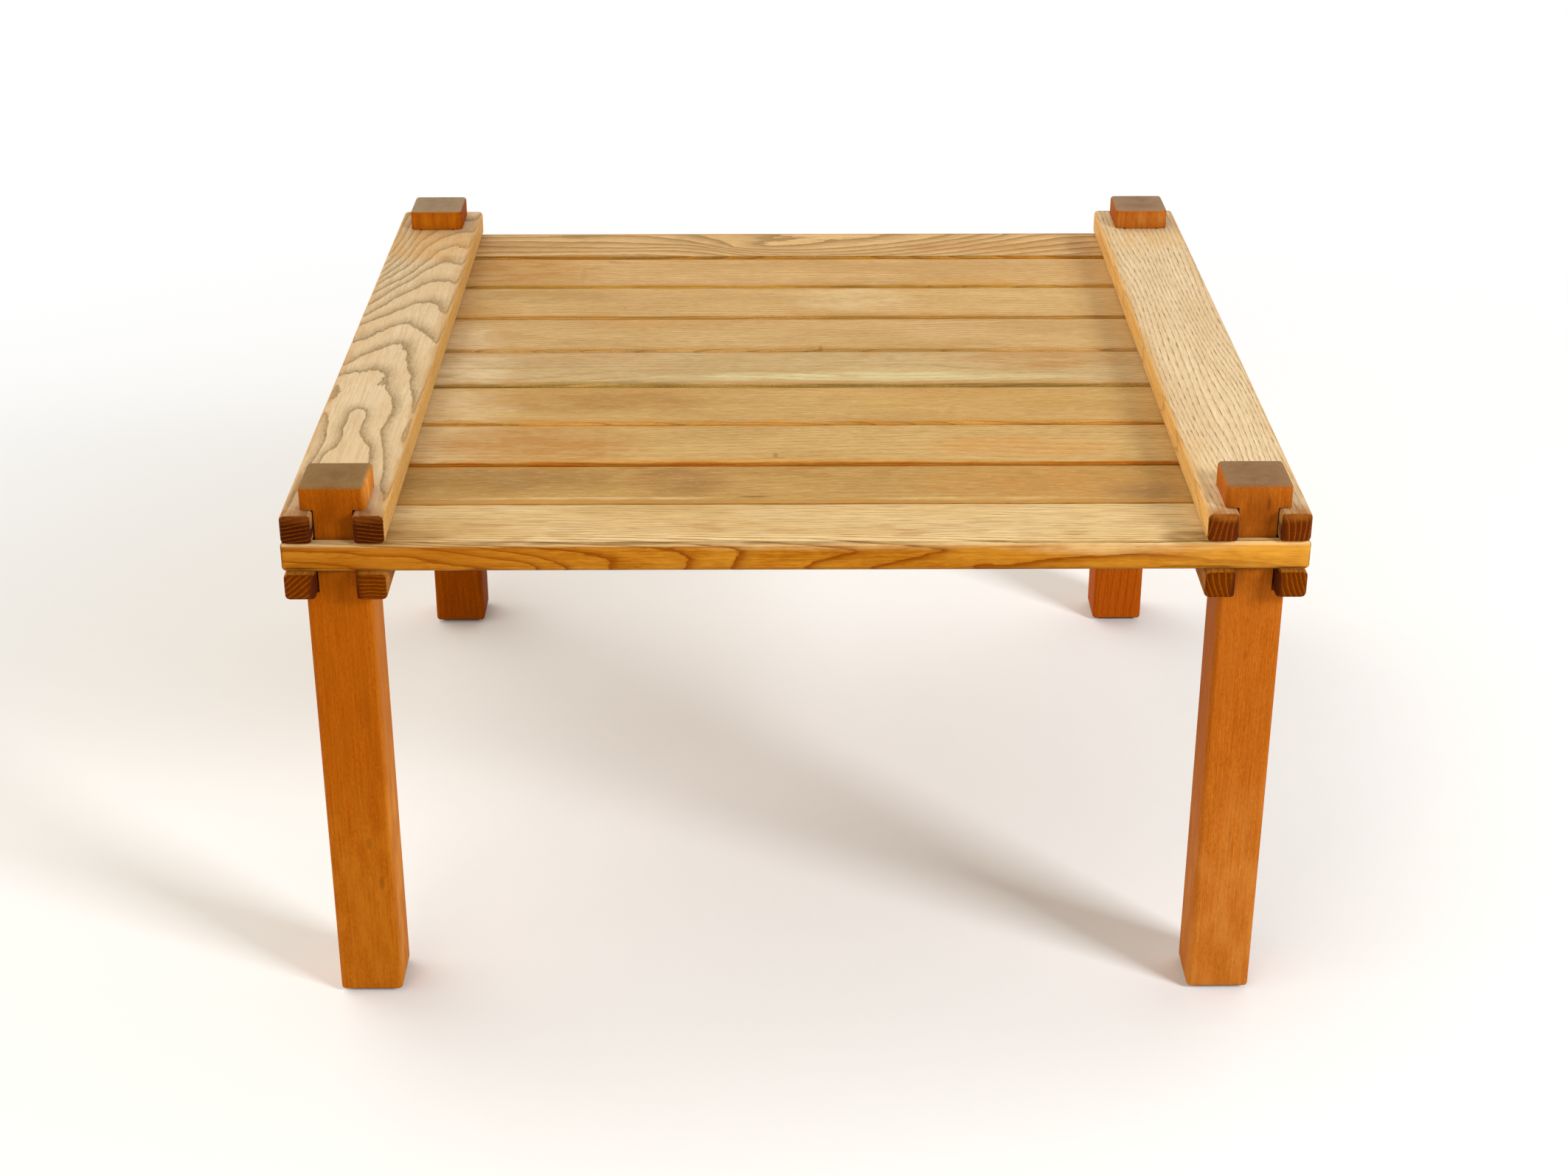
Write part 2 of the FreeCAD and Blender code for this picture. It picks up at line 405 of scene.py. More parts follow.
def front_edge_figure(low, high):
    """Rings of the front plank: the traced sheet folded over its edge, then one for each 2.6 mm of the top."""
    lines = list(FRONT_EDGE_RINGS)
    known = numbered(lines[:-1]) + [(a, b, len(lines) - 1) for a, b, _ in numbered(lines[-1:])] + list(FRONT_EDGE_HEART)
    for a in range(0, 801, 100):
        known += [(a, b, 10 + (b - 24 + a * 0.026) / 2.6) for b in range(36, 80, 10)]
    sheet = thin_plate(known, 0.16, 0.5)

    def figure(points):
        folded = (points[:, 1] - low[1]) - (high[2] - points[:, 2])
        return sheet(np.column_stack([points[:, 0] - low[0], folded]))

    return figure


def rear_top_figure(low, high):
    """Rings of the rear plank: the traced sheet on its top, and one more ring for each 4 mm up."""
    sheet = thin_plate(numbered(REAR_TOP_RINGS), 0.3, 4.0)

    def figure(points):
        return sheet(np.column_stack([points[:, 0] - low[0], points[:, 1] - low[1]])) + (points[:, 2] - high[2]) / 4.0

    return figure


# ---------------------------------------------------------------- materials


# What every piece of the table's ash has in common. Sizes are in mm, shares from 0 to 1. Pairs are for the sides that
# face backwards along the axis across the grain, and forwards: front and rear for a plank, left and right for a board.
ASH = dict(
    bright="F0D9A8", pale="DDB77E", tan="C69A5E", patch="C2935A", line="A8824C", pore="80592C", fleck="8E6C3C",
    # The seam colour is both the dark of the pores along the sides' rings and the painted shade on the walls of seams
    stain="B67E36", amber="BC7C32", glow="D69A3C", rust="9A621E", burnt="6E3C0E", grime="54400F", dark_pore_and_gap_shade="3A2006",
    end="4A2208", end_line="94582A", end_dark="32160A", contrast=0.3, pores=0.35, hairs=0.6, flecks=0.2,
    fleck_length=9.0, patches=0.6, waver=0.14, side_contrast=0.45, side_flecks=0.25, mottled=0.2, end_contrast=0.6,
    end_reach=(0.5, 0.88), line_share=0.3, line_width=1.0, lined=0.0, plain_spread=7.0, narrowed=0.5,
    pore_length=12.0, fade=((0.85, 0.985), (0.9, 0.99)), stained=0.6, stain_reach=12.0, grimed=(0.0, 0.0),
    # The pair that follows sets how strongly shade is painted on the walls of seams, on the front and the rear side of
    # a plank
    wall_shade=(0.0, 0.0), rough=0.55, sheen=0.03, gloss_tint="FFE6B8", stains=(), marks=(), bleached=(),
)


def ash_material(name, grain, seed, faded=True, **own):
    """Oiled ash, planed and sanded, bleached where light and hands reach it.

    Growth rings come from the piece's stored count. Each starts with a sharp porous band, which the eye reads as a
    dark line made of short dashes, and fades into plain wood. Old oil leaves the edges amber and the end grain dark.
    """
    look = {**ASH, **own}
    material, add = new_material(name)
    along = AXES[grain]
    across = 1 if grain == "X" else 0
    place = add("TexCoord", out="Object")
    mm = add("VectorMath", "MULTIPLY", place, (1 / MM,) * 3)
    spot = add("SeparateXYZ", mm).node.outputs
    normal = add("SeparateXYZ", place.node.outputs["Normal"]).node.outputs
    forward = add("Math", "GREATER_THAN", normal[across], 0.0)

    def by_side(pair):
        return add("Math", "MULTIPLY_ADD", forward, pair[1] - pair[0], pair[0])

    def grain_noise(across_mm, along_mm, shift, detail=2.0, rough=0.5):
        """Noise whose blotches are about so many mm wide and long."""
        scale = [1.0 / across_mm] * 3
        scale[along] = 1.0 / along_mm
        moved = add("VectorMath", "MULTIPLY_ADD", mm, scale, (seed * 7.31 + shift, seed * 3.17, shift * 1.7))
        return add("TexNoise", moved, 1.0, detail, rough)

    # Rings waver by a tenth of their width over 10 mm across and 35 mm along the grain, and by less over 3 mm
    waver = add("Math", "MULTIPLY_ADD", grain_noise(10.0, 35.0, 1.0), 0.3, -0.15)
    shiver = add("Math", "MULTIPLY_ADD", grain_noise(3.0, 9.0, 8.0), look["waver"], look["waver"] * -0.5)
    count = add("Attribute", attribute_name="rings", out="Fac")
    ring = add("Math", "FRACT", add("Math", "ADD", count, add("Math", "ADD", waver, shiver)))
    # A band is cut wider where it meets the surface at a low angle, but not as much wider as the whole ring
    spread = add("Attribute", attribute_name="spread", out="Fac")
    stretch = add("Math", "POWER", add("Math", "DIVIDE", spread, look["plain_spread"]), look["narrowed"])
    since_line = add("Math", "MULTIPLY", ring, add("Math", "MAXIMUM", stretch, 0.75), use_clamp=True)
    before = add("MapRange", "SMOOTHSTEP", ring, 0.95, 1.0, 0.0, 0.3)
    share = look["line_share"]
    falling = ((0.0, 1.0), (share * 0.3, 0.88), (share * 0.8, 0.45), (share * 1.7, 0.12), (0.97, 0.0))
    band = add("Math", "MAXIMUM", before, add("ValToRGB", since_line, stops=falling))
    wide = look["line_width"]
    falling = ((0.0, 1.0), (0.09 * wide, 0.7), (0.2 * wide, 0.2), (0.4 * wide, 0.0))
    thin = add("Math", "MAXIMUM", before, add("ValToRGB", since_line, stops=falling))

    # Pores of ash are 0.3 mm wide; drawn two to three times as wide so that they show in the picture
    dashes = add("MapRange", "SMOOTHSTEP", grain_noise(0.8, look["pore_length"], 2.0, 1.5), 0.5, 0.62)
    in_band = add("Math", "MULTIPLY", dashes, add("Math", "MULTIPLY_ADD", band, 0.94, 0.06))
    hairs = add("MapRange", "SMOOTHSTEP", grain_noise(0.7, 16.0, 9.0, 2.0), 0.54, 0.68)
    fibres = grain_noise(1.6, 60.0, 3.0, 3.0, 0.65)
    cloud = add("MapRange", "SMOOTHSTEP", grain_noise(45.0, 150.0, 4.0, 2.0), 0.42, 0.68)
    small_cloud = add("MapRange", "SMOOTHSTEP", grain_noise(14.0, 40.0, 5.0, 2.0), 0.35, 0.68)
    speckle = grain_noise(1.2, 1.6, 6.0, 3.0)
    # Rays and cut fibres, which the eye reads as a fine short fleck
    fleck = grain_noise(1.2, look["fleck_length"], 10.0, 2.0, 0.6)
    light_fleck = add("MapRange", "SMOOTHSTEP", fleck, 0.52, 0.68)
    dark_fleck = add("MapRange", "SMOOTHSTEP", fleck, 0.5, 0.33)
    streak = add("MapRange", "SMOOTHSTEP", fibres, 0.32, 0.7)

    def within(centre, reach, strength):
        """Share of a soft patch round a centre; a strength over 1 hardens its rim."""
        parts = [add("Math", "MULTIPLY_ADD", spot[i], 1 / reach[i], -centre[i] / reach[i]) for i in range(3)]
        squares = [add("Math", "MULTIPLY", part, part) for part in parts]
        far = add("Math", "ADD", add("Math", "ADD", squares[0], squares[1]), squares[2])
        ragged = add("Math", "MULTIPLY_ADD", small_cloud, 0.7, 0.5)
        inside = add("Math", "MULTIPLY", add("MapRange", "SMOOTHSTEP", far, 1.1, 0.1), ragged, use_clamp=True)
        return add("Math", "MULTIPLY", inside, strength, use_clamp=True)

    def covered(base, *coats):
        """The base under its coats: where each lies, how thickly, and its colour in the look."""
        for where, strength, shade in coats:
            base = add("Mix", "RGBA", add("Math", "MULTIPLY", where, strength), base, look[shade])
        return base

    def patched(base, patches):
        for centre, reach, shade, strength in patches:
            base = add("Mix", "RGBA", within(centre, reach, strength), base, shade)
        return base

    tone = add("Math", "MULTIPLY_ADD", small_cloud, 0.25, add("Math", "MULTIPLY", streak, 0.75))
    top = covered(add("Mix", "RGBA", tone, look["pale"], look["tan"]), (cloud, look["patches"], "patch"))
    ruled = add("Math", "MULTIPLY", thin, add("Math", "MULTIPLY_ADD", dashes, 0.5, 0.5))
    rim = add("Math", "MULTIPLY_ADD", small_cloud, 8.0, add("Attribute", attribute_name="rim", out="Fac"))
    top = covered(
        patched(top, look["stains"]),
        (dark_fleck, look["flecks"], "fleck"),
        (light_fleck, look["flecks"] * 0.7, "bright"),
        (band, look["contrast"], "line"),
        (hairs, look["hairs"] * 0.5, "line"),
        (in_band, look["pores"], "pore"),
        (ruled, look["lined"], "pore"),
        (add("MapRange", "SMOOTHSTEP", rim, look["stain_reach"] + 4.0, 3.0), look["stained"], "stain"),
    )
    side = covered(
        add("Mix", "RGBA", streak, look["amber"], look["rust"]),
        (cloud, 0.3, "rust"),
        (dark_fleck, look["side_flecks"], "burnt"),
        (light_fleck, look["side_flecks"] * 0.6, "glow"),
        (small_cloud, look["mottled"], "glow"),
        (band, look["side_contrast"] * 0.7, "rust"),
        (thin, look["side_contrast"], "burnt"),
        (add("Math", "MULTIPLY", dashes, thin), look["side_contrast"] * 0.3, "dark_pore_and_gap_shade"),
    )
    grained = add("Mix", "RGBA", add("Math", "MULTIPLY", thin, look["end_contrast"]), look["end"], look["end_line"])
    dark = add("MapRange", "SMOOTHSTEP", speckle, 0.35, 0.75, 0.0, 0.5)
    grained = add("Mix", "RGBA", dark, grained, look["end_dark"])

    skin = side
    if faded:
        low, high = zip(*look["fade"])
        ragged = add("Math", "ADD", fibres, small_cloud)
        ragged = add("Math", "MULTIPLY_ADD", ragged, 0.06, add("Math", "SUBTRACT", normal[2], 0.06))
        shown = add("MapRange", "SMOOTHSTEP", ragged, by_side(low), by_side(high))
        for centre, reach, strength in look["bleached"]:
            shown = add("Math", "MAXIMUM", shown, within(centre, reach, strength))
        skin = add("Mix", "RGBA", shown, side, top)
    # Dirt settles where two pieces meet; the walls of a seam never see light, and are painted in shade
    patchy = add("Math", "MULTIPLY_ADD", cloud, 0.4, add("Math", "MULTIPLY_ADD", small_cloud, 0.25, speckle))
    low_rim = add("MapRange", "SMOOTHSTEP", normal[2], 0.995, 0.93)
    dirt = add("Math", "MULTIPLY", add("MapRange", "SMOOTHSTEP", patchy, 0.45, 0.9), low_rim)
    wall = add("MapRange", "SMOOTHSTEP", normal[2], 0.72, 0.4)
    skin = covered(skin, (dirt, by_side(look["grimed"]), "grime"), (wall, by_side(look["wall_shade"]), "dark_pore_and_gap_shade"))

    serrated = add("Math", "MULTIPLY_ADD", thin, 0.16, add("Math", "ABSOLUTE", normal[along]))
    serrated = add("Math", "ADD", serrated, add("Math", "MULTIPLY_ADD", speckle, 0.2, -0.14))
    end_share = add("MapRange", "SMOOTHSTEP", serrated, *look["end_reach"])
    skin = patched(add("Mix", "RGBA", end_share, skin, grained), look["marks"])

    rough = add("Math", "MULTIPLY_ADD", fibres, 0.25, look["rough"] - 0.12)
    rough = add("Math", "ADD", rough, add("Math", "MULTIPLY", in_band, 0.12))
    relief = add("Math", "MULTIPLY_ADD", in_band, -1.0, add("Math", "MULTIPLY", fibres, 0.4))
    end_relief = add("Math", "MULTIPLY", add("Math", "MULTIPLY", thin, end_share), 1.4)
    # The grain stands about 0.3 mm proud of the pores, three times as much as in the real wood, so that it shows
    height = {"Strength": 0.55, "Distance": 0.3 * MM, "Height": add("Math", "ADD", relief, end_relief)}
    # Oil sinks in and leaves no film, so next to nothing of a varnish's sheen is left, and it is warm
    skin_of_oil = {"IOR": 1.5, "Specular IOR Level": look["sheen"], "Specular Tint": look["gloss_tint"]}
    surface = {"Base Color": skin, "Roughness": rough, "Normal": add("Bump", named=height), **skin_of_oil}
    add("OutputMaterial", add("BsdfPrincipled", named=surface))
    return material


def felt_material(tones):
    """Pressed wool felt, cut from sheet: matt, with a faint fuzz that lightens its edge."""
    material, add = new_material("pressed_felt_dark")
    # Tufts of about 1.5 mm
    tufts = add("TexNoise", add("TexCoord", out="Object"), 1 / (1.5 * MM), 4.0)
    shade = add("Mix", "RGBA", tufts, *tones)
    bump = add("Bump", named={"Strength": 0.8, "Distance": 0.4 * MM, "Height": tufts})
    fuzz = {"Sheen Weight": 0.4, "Sheen Roughness": 0.5}
    add("OutputMaterial", add("BsdfPrincipled", named={"Base Color": shade, "Roughness": 0.95, "Normal": bump, **fuzz}))
    return material


# ---------------------------------------------------------------- settings


class TableShape(bpy.types.PropertyGroup):
    """Sizes of the eased edges and of the joint that the boxes of the CAD nodes don't give."""

    plank_edge: FloatProperty(
        name="Plank edge", description="Radius of the planks' long edges", default=5.4 * MM, unit="LENGTH",
    )
    tight_edge: FloatProperty(
        name="Tight edge", description="Radius of the edges between the two front planks", default=1.6 * MM,
        unit="LENGTH",
    )
    plank_end: FloatProperty(
        name="Plank end", description="Radius round the planks' ends", default=3.4 * MM, unit="LENGTH",
    )
    board_edge: FloatProperty(
        name="Board edge", description="Radius of the long edges of boards and rails", default=3.6 * MM,
        unit="LENGTH",
    )
    prong_edge: FloatProperty(
        name="Prong edge", description="Radius round the tips of the forks", default=4.4 * MM, unit="LENGTH",
    )
    slot_edge: FloatProperty(
        name="Slot edge", description="Radius of the rims of the forks' slots", default=2.4 * MM, unit="LENGTH",
    )
    leg_edge: FloatProperty(
        name="Leg edge", description="Radius of the legs' upright corners", default=4.6 * MM, unit="LENGTH",
    )
    head_edge: FloatProperty(
        name="Head edge", description="Radius round the top of each leg", default=2.6 * MM, unit="LENGTH",
    )
    notch_edge: FloatProperty(
        name="Notch edge", description="Radius of the nearly sharp edges of the notches", default=0.5 * MM,
        unit="LENGTH",
    )
    neck_width: FloatProperty(
        name="Neck width", description="Width of the leg between its notches", default=31.0 * MM, unit="LENGTH",
    )
    slot_width: FloatProperty(
        name="Slot width", description="Width of the slot of a fork", default=32.4 * MM, unit="LENGTH",
    )
    seat_clearance: FloatProperty(
        name="Seat clearance", description="Space between a neck and the closed end of its slot", default=0.3 * MM,
        unit="LENGTH",
    )
    mortise_clearance: FloatProperty(
        name="Mortise clearance", description="Space round a head on its way through an end plank", default=0.5 * MM,
        unit="LENGTH",
    )
    wear_depth: FloatProperty(
        name="Wear", description="Most that is worn off a face", default=0.12 * MM, unit="LENGTH",
    )
    edge_wear_depth: FloatProperty(
        name="Edge wear", description="Most that is worn off an edge", default=0.35 * MM, unit="LENGTH",
    )


class StageLight(bpy.types.PropertyGroup):
    """Lamps and floor of the studio."""

    key_power: FloatProperty(
        name="Key lamp", description="Power of the soft lamp at the front right", default=168.0, unit="POWER",
    )
    fill_power: FloatProperty(
        name="Fill lamp", description="Power of the large lamp at the front left", default=28.0, unit="POWER",
    )
    sky: FloatProperty(name="Room light", description="Light from the white walls", default=1.12, min=0.0)
    floor_colour: FloatVectorProperty(
        name="Floor", description="Colour of the paper floor", default=from_hex("F4F2EE"), subtype="COLOR", size=3,
        min=0.0, max=1.0,
    )


# ---------------------------------------------------------------- operators


# Per plank: figure, hollow of the top in mm, and what sets it apart from the common ash. A figure is either traced, or
# the pith at the left and right end (mm across from the plank's middle and up from it), ring width and wander in mm.
# Stains lie under the grain of the top: centre and reach along and across in mm, colour, strength. Marks, such as
# knots, lie over it: centre, reach, colour, strength. Bleached places of a side look like the top.
PLANK_LOOKS = {
    "front_plank": (front_edge_figure, 0.15, dict(
        pale="EBCF9B", tan="DBB87C", patch="D9B276", line="AD8246", pore="6B4D1E", contrast=0.45, pores=0.7,
        flecks=0.12, line_share=0.4, line_width=1.8, lined=0.8, plain_spread=2.6, narrowed=0.35, pore_length=36.0,
        amber="B5741B", rust="945206", burnt="7F3902", glow="C98C2B", side_contrast=0.85, side_flecks=0.35,
        mottled=0.3, fade=((0.3, 0.9), (0.93, 0.99)), stained=0.1, wall_shade=(0.0, 0.8),
        stains=(
            (-300, -360, 80, 30, "C29A5E", 0.47), (-120, -322, 90, 14, "C9A468", 0.54),
            (312, -376, 34, 14, "7E5C28", 0.85), (-312, -372, 44, 16, "9A7236", 0.81),
        ),
        marks=(
            ((-120, -383.5, 423), (300, 1.5, 8), "7A5226", 0.7), ((-400, -386, 411), (300, 12, 14), "A0580A", 0.35),
            ((380, -386, 411), (120, 14, 16), "E8A840", 0.4),
        ),
        bleached=(
            ((30, -388, 427), (210, 12, 11), 0.85), ((250, -388, 426), (125, 12, 15), 0.7),
            ((-250, -388, 427), (80, 10, 8), 0.85),
        ),
    )),
    "plank_2": (((60, -160), (90, -150), 2.8, 4.0), -0.2, dict(
        amber="A87634", rust="8A5C22", pale="BD9555", tan="A97F42", patch="A57D40", grimed=(0.11, 0.33),
        fade=((0.6, 0.9), (0.93, 0.995)),
        stains=(
            (-235, -255, 110, 40, "8C6636", 0.61), (-95, -262, 50, 36, "8E6232", 0.68),
            (200, -268, 115, 40, "BC8440", 0.68), (285, -285, 40, 20, "9A6E40", 0.68),
            (-160, -299, 120, 4, "DDB880", 0.68), (150, -300, 120, 4, "D8AE70", 0.68),
        ),
        marks=(((-33, -296, 423), (15, 1.7, 8), "6E4A22", 0.7),),
    )),
    "plank_3": (((-100, -120), (-70, -130), 3.0, 4.0), 0.25, dict(
        amber="B4661A", rust="98520E", pale="CCA96D", tan="B79055", patch="B38C52", grimed=(0.17, 0.22),
        stains=(
            (-305, -180, 80, 70, "E0C090", 0.61), (-215, -185, 110, 50, "B47C3A", 0.81),
            (190, -192, 95, 28, "C8904C", 0.68), (-40, -222, 260, 5, "D89644", 0.68),
        ),
        marks=(((-15.5, -210, 423), (3, 6, 8), "8A5426", 0.8), ((-12, -216, 423), (8, 2, 8), "94602E", 0.5)),
    )),
    "plank_4": (((130, -110), (110, -90), 2.6, 4.0), -0.15, dict(
        amber="D1994C", rust="BE8034", pale="CCA869", tan="B78D52", patch="B3894F", grimed=(0.22, 0.39),
        stains=(
            (-308, -95, 80, 70, "E2C494", 0.68), (-170, -82, 125, 34, "A87A3C", 0.81),
            (160, -95, 140, 44, "C0944E", 0.54),
        ),
    )),
    "plank_5": (((-60, -170), (-90, -160), 3.2, 5.0), 0.2, dict(
        amber="BE9755", rust="96783C", pale="C8AC7C", tan="B49360", patch="AF8F5D", grimed=(0.44, 0.22),
        stains=(
            (-310, -5, 70, 70, "E2C89E", 0.68), (-185, 20, 80, 16, "C09466", 0.54),
            (-168, -46, 95, 9, "8E7A40", 0.81), (230, 14, 90, 28, "B4824A", 0.81), (60, -28, 230, 13, "D4C694", 0.74),
        ),
        marks=(((66, 24, 423), (7, 9, 8), "A08560", 0.5), ((90, 17, 423), (6, 7, 8), "A08560", 0.45)),
    )),
    "plank_6": (((90, -130), (120, -150), 2.8, 4.0), -0.25, dict(
        amber="CC9F63", rust="A87C42", pale="D0AC76", tan="BA945C", patch="B68F59", grimed=(0.33, 0.28),
        stains=(
            (-305, 68, 45, 50, "E2C79C", 0.68), (-120, 110, 90, 14, "C89454", 0.54),
            (150, 95, 40, 30, "C89E70", 0.54),
        ),
        marks=(((-275, 78, 423), (16, 26, 8), "B88C50", 0.5), ((27, 45, 423), (2.5, 7, 8), "8A5426", 0.9)),
    )),
    "plank_7": (((-120, -100), (-90, -120), 3.0, 5.0), 0.15, dict(
        amber="CF9851", rust="A77736", pale="D5B078", tan="BF975E", patch="BA935A", grimed=(0.28, 0.33),
        stains=(
            (-230, 190, 95, 24, "B08A50", 0.68), (60, 180, 70, 40, "E2C492", 0.54),
            (-290, 150, 40, 30, "BE8E4C", 0.54),
        ),
        marks=(((-159, 155, 423), (1.5, 1.5, 8), "8A4A26", 0.9),),
    )),
    "plank_8": (((70, -150), (100, -130), 2.9, 4.0), -0.2, dict(
        amber="C3903F", rust="A1752C", pale="D6AE76", tan="BF955C", patch="BB9159", grimed=(0.22, 0.44),
        stains=(
            (-265, 262, 90, 50, "B4803C", 0.85), (180, 230, 80, 10, "D0964A", 0.68),
            (290, 270, 30, 40, "BE9258", 0.54),
        ),
        marks=(((-205, 250, 423), (4, 24, 8), "A87840", 0.5),),
    )),
    "rear_plank": (rear_top_figure, 0.2, dict(
        amber="CC8B34", rust="A96D23", pale="E7BE86", tan="CFA469", patch="C9A066", line="8E6B3D", contrast=0.75,
        pores=0.3, line_share=0.5, line_width=2.0, plain_spread=14.0, grimed=(0.44, 0), wall_shade=(0.5, 0.0),
        stains=(
            (-213, 374, 30, 12, "A88448", 0.68), (-265, 340, 70, 22, "BC8A4E", 0.68),
            (190, 342, 110, 18, "C68E4E", 0.68), (300, 345, 20, 40, "B0824E", 0.54),
        ),
    )),
}


def plank_piece(shape, number, node):
    """A plank with its edges eased, its figure and its own finish; the two at the ends get the legs' mortises."""
    low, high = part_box(node)
    figure, cup, own = PLANK_LOOKS[node]
    mortises = []
    if node in ("front_plank", "rear_plank"):
        for side in SIDES:
            leg_low, leg_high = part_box("leg_%s_%s" % (node.split("_")[0], side))
            gap = shape.mortise_clearance
            mortises.append((leg_low.x - gap, leg_high.x + gap, leg_low.y - gap, leg_high.y + gap))

    def in_mortise(x, y):
        return any(a < x < b and c < y < d for a, b, c, d in mortises)

    across = sorted({edge for m in mortises for edge in m[:2]})
    deep = sorted({edge for m in mortises for edge in m[2:]})
    # Traced figures need points that lie closer together
    traced = callable(figure)
    cuts_x = cuts(low.x, high.x, (7 if traced else 16) * MM, 6 * MM, across)
    cuts_y = cuts(low.y, high.y, (4.5 if traced else 9) * MM, 7 * MM, deep)
    levels = cuts(low.z, high.z, 4 * MM, 7 * MM)
    bm = sawn_mesh(cuts_x, cuts_y, levels, "Z", in_mortise)

    def radius_of(middle, direction):
        inside = any(a - MM < middle.x < b + MM and c - MM < middle.y < d + MM for a, b, c, d in mortises)
        if inside:
            return shape.notch_edge
        if abs(direction.x) < ALONG:
            return shape.plank_end
        facing = "rear" if middle.y > 0.5 * (low.y + high.y) else "front"
        tight = (node, facing) in (("front_plank", "rear"), ("plank_2", "front"))
        return shape.tight_edge if tight else shape.plank_edge

    piece = ease_edges(bm, node + "_ash", radius_of, 4)
    if traced:
        rings = figure(low / MM, high / MM)
    else:
        centre = ((low + high) / 2) / MM
        start, end, ring_width, wander = figure
        places = [(centre.y + a, centre.z + u) for a, u in (start, end)]
        rings = pith_figure("X", *places, ring_width, number * 11 + 3, wander)
    store_figure(piece, "X", rings)
    wear(piece, number * 5 + 1, "X", shape.wear_depth, shape.edge_wear_depth, cup * MM)
    top = round(high.z / MM)
    stains = [((x, y, top), (far, wide, 8), shade, share) for x, y, far, wide, shade, share in own["stains"]]
    # Shade is painted on the walls of both seams of a plank, unless its own look says otherwise
    material = ash_material("ash_oiled_" + node, "X", number + 1, **{"wall_shade": (0.5, 0.5), **own, "stains": stains})
    finish_piece(piece, node, material)


class SLATTEDTABLE_OT_planks(bpy.types.Operator):
    """Nine planks of the top, each with its own figure, cup and tone"""

    bl_idname = "slatted_table.planks"
    bl_label = "Planks"

    def execute(self, context):
        for number, node in enumerate(PLANKS):
            plank_piece(context.scene.table_shape, number, node)
        return {"FINISHED"}


# Prongs show their end grain sharply. The long edges of both boards are of one tone.
PRONG_ASH = dict(end_reach=(0.12, 0.5), end_contrast=0.9)
BOARD_ASH = dict(amber="DFB16B", rust="C59351", burnt="8B622C", flecks=0.12, **PRONG_ASH)

# What sets each board apart. The marks at -400 and 384 front to back are the shaded walls of its slots.
BOARD_LOOKS = {
    "left": dict(
        pale="DAC29B", tan="CAA97E", patch="D0AF83", line="93774D", pore="6F542F", contrast=0.8, pores=0.5,
        hairs=0.15, line_share=0.42, plain_spread=9.0, pore_length=7.0, stain="B7874D", stained=0.5, stain_reach=9.0,
        end="3F1401", end_line="834001", end_dark="270A01", fade=((0.55, 0.95), (0.45, 0.95)),
        marks=(
            ((-359, 285, 447), (60, 75, 10), "CB9246", 0.45), ((-334, 232, 447), (14, 16, 10), "A07C4E", 0.5),
            ((-359, -390, 450), (70, 30, 11), "824412", 0.9), ((-358.5, -400, 433), (22, 60, 22), "4A1C08", 3.0),
            ((-358.5, 384, 428), (27, 68, 24), "34160A", 0.9),
        ),
    ),
    "right": dict(
        pale="E2C9A3", tan="D1B386", patch="D3B48A", line="AC8B5C", pore="755631", contrast=0.45, pores=0.9,
        hairs=0.2, line_share=0.22, lined=0.35, plain_spread=5.5, pore_length=16.0, stain="BB8F53", stained=0.4,
        stain_reach=8.0, end="5B2301", end_line="9A4D0E", end_dark="391201", fade=((0.45, 0.95), (0.55, 0.95)),
        marks=(
            ((359, -390, 450), (70, 30, 11), "96561A", 0.85), ((358.5, -400, 433), (22, 60, 22), "4A1C08", 3.0),
            ((358.5, 384, 428), (27, 68, 24), "34160A", 0.9), ((330, -300, 447), (16, 90, 10), "CFA468", 0.4),
            ((359, 300, 447), (60, 50, 10), "D8AA68", 0.35),
        ),
    ),
}


class SLATTEDTABLE_OT_upper_boards(bpy.types.Operator):
    """Two upper boards with a fork at each end, the left one cathedral-figured and the right one straight-grained"""

    bl_idname = "slatted_table.upper_boards"
    bl_label = "Upper boards"

    def execute(self, context):
        shape = context.scene.table_shape
        for number, side in enumerate(SIDES):
            node = "upper_board_" + side
            low, high = (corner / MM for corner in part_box(node))
            if side == "left":
                figure = tongue_figure(low, high)
            else:
                # A pith far to the right gives straight grain
                middle = (low.x + high.x) / 2
                figure = pith_figure("Y", (middle + 420, high.z - 10), (middle + 400, high.z - 50), 4.6, 51, 5.0)
            piece = forked_piece(node, shape, (6 if side == "left" else 12) * MM, figure)
            wear(piece, 70 + number * 5, "Y", shape.wear_depth, shape.edge_wear_depth)
            own = {**BOARD_ASH, **BOARD_LOOKS[side]}
            finish_piece(piece, node, ash_material("ash_oiled_" + node, "Y", 31 + number, **own))
        return {"FINISHED"}


def forked_piece(node, shape, step, figure):
    """A board or rail whose ends are forks round the necks of its legs."""
    low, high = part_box(node)
    side = node.split("_")[-1]
    leg_low, leg_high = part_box("leg_rear_" + side)
    middle = (leg_low.x + leg_high.x) / 2
    closed = leg_low.y - shape.seat_clearance
    half = shape.slot_width / 2

    def in_slot(x, y):
        return abs(x - middle) < half and abs(y) > closed

    cuts_x = cuts(low.x, high.x, 5 * MM, 6 * MM, (middle - half, middle + half))
    cuts_y = cuts(low.y, high.y, step, 6 * MM, (-closed, closed))
    bm = sawn_mesh(cuts_x, cuts_y, cuts(low.z, high.z, 6 * MM, 6 * MM), "Z", in_slot)

    def radius_of(place, direction):
        if abs(place.y) > high.y - NEAR:
            return shape.prong_edge
        if abs(abs(place.x - middle) - half) < NEAR:
            return shape.slot_edge
        if abs(abs(place.y) - closed) < NEAR:
            return shape.notch_edge
        return shape.board_edge

    piece = ease_edges(bm, node + "_ash", radius_of, 5)
    store_figure(piece, "Y", figure)
    return piece


